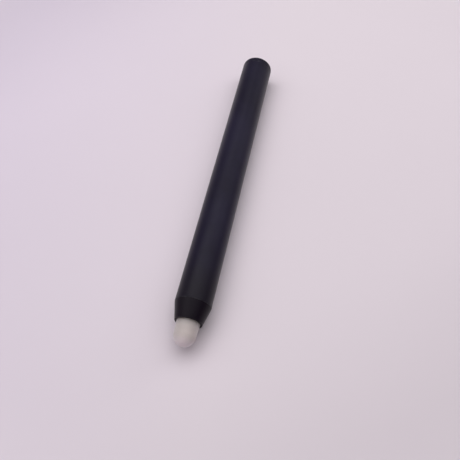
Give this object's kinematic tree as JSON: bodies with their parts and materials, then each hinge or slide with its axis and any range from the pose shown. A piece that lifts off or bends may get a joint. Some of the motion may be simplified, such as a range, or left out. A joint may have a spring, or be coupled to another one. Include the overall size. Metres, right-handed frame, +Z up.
{
  "type": "infrared light pen",
  "caption": "Slim black light pen with a conical nose, a milky diffusing press tip, a round barrel for cylindrical cells and a coin-slotted screw cap at the tail.",
  "frame": {"origin": "on the surface the pen lies on, below the middle of its length", "axes": "+Y along the pen from its tip to its tail, +Z up from the surface it lies on, +X to the right seen from the tip"},
  "size_m": [0.014, 0.148, 0.014],
  "materials": {
    "anodised_shell": "matte black anodised",
    "anodised_cap": "matte black anodised",
    "milky_diffuser": "translucent milky white, satin",
    "black_moulding": "satin black",
    "grey_moulding": "satin grey",
    "spring_wire": "bright drawn wire",
    "contact_brass": "plated brass",
    "board_laminate": "green solder resist on glass laminate",
    "switch_housing": "satin black",
    "chip_black": "black moulding compound",
    "chip_tan": "tan ceramic",
    "led_epoxy": "clear epoxy",
    "tinned_lead": "tinned",
    "cell_jacket": "metallised film jacket, printed in plain colours, unlettered",
    "seal_rubber": "black nitrile"
  },
  "bodies": {
    "root": {"barrel": "anodised_shell", "nose_cone": "anodised_shell", "chassis": "grey_moulding", "chassis_cover": "grey_moulding", "ground_ring": "contact_brass", "positive_contact": "contact_brass", "circuit_board": "board_laminate", "switch_body": "switch_housing", "resistor": "chip_black", "transistor": "chip_black", "capacitor": "chip_tan", "ir_led": "led_epoxy", "led_lead_anode": "tinned_lead", "led_lead_cathode": "tinned_lead", "cell_front": "cell_jacket", "cell_rear": "cell_jacket", "tip_spring": "spring_wire"},
    "tip": {"diffuser_tip": "milky_diffuser", "tip_plunger": "black_moulding"},
    "button": {"switch_button": "black_moulding"},
    "cap_seal": {"tail_o_ring": "seal_rubber"},
    "cap": {"tail_cap": "anodised_cap", "tail_spring": "spring_wire"}
  },
  "joints": [
    {"name": "tip_press", "type": "slide", "parent": "root", "child": "tip", "axis": [0, 1, 0], "range_m": [0, 0.0006], "stiffness_N_per_m": 800, "springref_m": -0.001, "deforming": ["tip_spring"]},
    {"name": "switch_press", "type": "slide", "parent": "root", "child": "button", "axis": [0, 1, 0], "range_m": [0, 0.0006]},
    {"name": "cap_travel", "type": "slide", "parent": "root", "child": "cap_seal", "axis": [0, 1, 0], "range_m": [0, 0.00562]},
    {"name": "cap_turn", "type": "hinge", "parent": "cap_seal", "child": "cap", "pos_m": [0, 0.0725, 0.007], "axis": [0, 1, 0], "range_deg": [0, 1620]}
  ],
  "couplings": [
    {"joint": "switch_press", "follows": "tip_press", "ratio": 1},
    {"joint": "cap_turn", "follows": "cap_travel", "rad_per_m": 5026.5}
  ]
}
